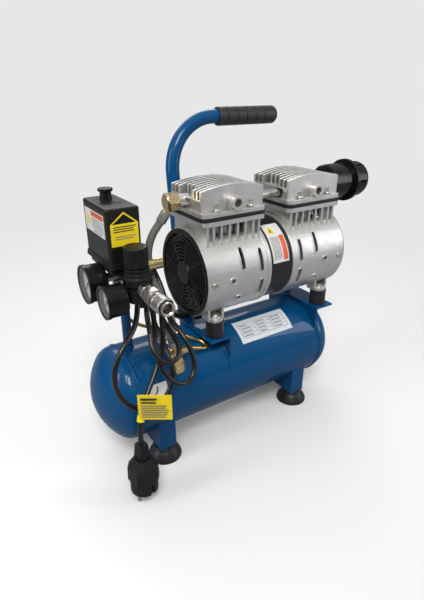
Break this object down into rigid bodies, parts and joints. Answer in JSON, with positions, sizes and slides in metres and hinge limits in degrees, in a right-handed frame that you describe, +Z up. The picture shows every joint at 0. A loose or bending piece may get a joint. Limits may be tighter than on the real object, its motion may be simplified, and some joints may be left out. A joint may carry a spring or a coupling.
{
  "type": "airbrush compressor",
  "caption": "Oil-free twin-cylinder airbrush compressor on a small horizontal tank, with pressure switch, regulator, gauges, quick coupler, intake filter and carry handle.",
  "frame": {"origin": "on the floor at the centre of the four suction feet", "axes": "+X along the tank towards the intake filter, +Y towards the back, +Z up"},
  "size_m": [0.5009, 0.262, 0.4822],
  "materials": {
    "blue_paint": "gloss",
    "black_rubber": "matte",
    "cable_sheath": "satin",
    "cast_aluminium": "cast, satin",
    "zinc_steel": "zinc plated",
    "stator_iron": "satin",
    "copper_wire": "enamelled copper wire",
    "black_plastic": "matte",
    "switch_plastic": "satin",
    "filter_foam": "open foam",
    "brass": "machined",
    "nickel": "nickel plated",
    "braid": "woven",
    "dial_card": "matte",
    "lens": "clear",
    "needle_paint": "matte",
    "tag_card": "satin"
  },
  "bodies": {
    "compressor": {"cable_glands": "black_plastic", "check_valve": "brass", "connecting_rods": "cast_aluminium", "cord_tag": "tag_card", "coupler_body": "nickel", "crankcase_left": "cast_aluminium", "crankcase_right": "cast_aluminium", "cross_tube": "zinc_steel", "cylinder_blocks": "cast_aluminium", "cylinder_heads": "cast_aluminium", "cylinder_sleeves": "cast_aluminium", "delivery_hose": "braid", "drain_valve": "brass", "fan_grilles": "black_plastic", "filter_body": "black_plastic", "filter_cap": "black_plastic", "filter_element": "filter_foam", "foot_brackets": "blue_paint", "gauge_dials": "dial_card", "gauge_lenses": "lens", "handle_grip": "black_rubber", "handle_tube": "blue_paint", "head_seals": "black_rubber", "hose_ferrules": "zinc_steel", "machine_screws": "zinc_steel", "mains_cord": "cable_sheath", "mains_plug": "black_plastic", "manifold": "nickel", "motor_brackets": "blue_paint", "motor_cable": "cable_sheath", "mount_bolts": "zinc_steel", "outlet_elbow": "brass", "pistons": "cast_aluminium", "plug_pins": "nickel", "regulator_body": "switch_plastic", "regulator_gauge_case": "black_plastic", "riser_pipe": "blue_paint", "rubber_mounts": "black_rubber", "safety_valve": "brass", "shaft_bearings": "zinc_steel", "stator_core": "stator_iron", "stator_windings": "copper_wire", "suction_feet": "black_rubber", "switch_base": "switch_plastic", "switch_cover": "switch_plastic", "tank_ends": "blue_paint", "tank_gauge_case": "black_plastic", "tank_shell": "blue_paint", "unloader_tube": "brass", "valve_plates": "zinc_steel"},
    "switch_knob": {"switch_knob": "switch_plastic"},
    "adjusting_screw": {"adjusting_screw": "brass"},
    "regulator_knob": {"regulator_knob": "switch_plastic"},
    "coupler_sleeve": {"coupler_sleeve": "nickel"},
    "tank_gauge_needle": {"tank_gauge_needle": "needle_paint"},
    "regulator_gauge_needle": {"regulator_gauge_needle": "needle_paint"},
    "drain_screw": {"drain_screw": "brass"},
    "rotor": {"motor_shaft": "zinc_steel", "rotor_core": "stator_iron", "cooling_fans": "black_plastic"}
  },
  "joints": [
    {"name": "switch_pull", "type": "slide", "parent": "compressor", "child": "switch_knob", "axis": [0, 0, 1], "range_m": [-0.005, 0]},
    {"name": "adjusting_screw_turn", "type": "hinge", "parent": "compressor", "child": "adjusting_screw", "pos_m": [-0.158, -0.064, 0.3], "axis": [0, 0, 1], "range_deg": [-540, 540]},
    {"name": "regulator_knob_lift", "type": "slide", "parent": "adjusting_screw", "child": "regulator_knob", "axis": [0, 0, 1], "range_m": [0, 0.003]},
    {"name": "coupler_sleeve_slide", "type": "slide", "parent": "compressor", "child": "coupler_sleeve", "axis": [0, 1, 0], "range_m": [0, 0.005], "stiffness_N_per_m": 1500, "springref_m": -0.002},
    {"name": "tank_gauge_needle_turn", "type": "hinge", "parent": "compressor", "child": "tank_gauge_needle", "pos_m": [-0.205, -0.003, 0.282], "axis": [1, 0, 0], "range_deg": [0, 270], "stiffness_Nm_per_rad": 0.0005},
    {"name": "regulator_gauge_needle_turn", "type": "hinge", "parent": "compressor", "child": "regulator_gauge_needle", "pos_m": [-0.203, -0.064, 0.28], "axis": [1, 0, 0], "range_deg": [0, 270], "stiffness_Nm_per_rad": 0.0005},
    {"name": "drain_screw_turn", "type": "hinge", "parent": "compressor", "child": "drain_screw", "pos_m": [0, 0, 0.02], "axis": [0, 0, 1], "range_deg": [0, 720]},
    {"name": "rotor_spin", "type": "hinge", "parent": "compressor", "child": "rotor", "pos_m": [0.0713, 0, 0.2658], "axis": [1, 0, 0], "continuous": true}
  ]
}
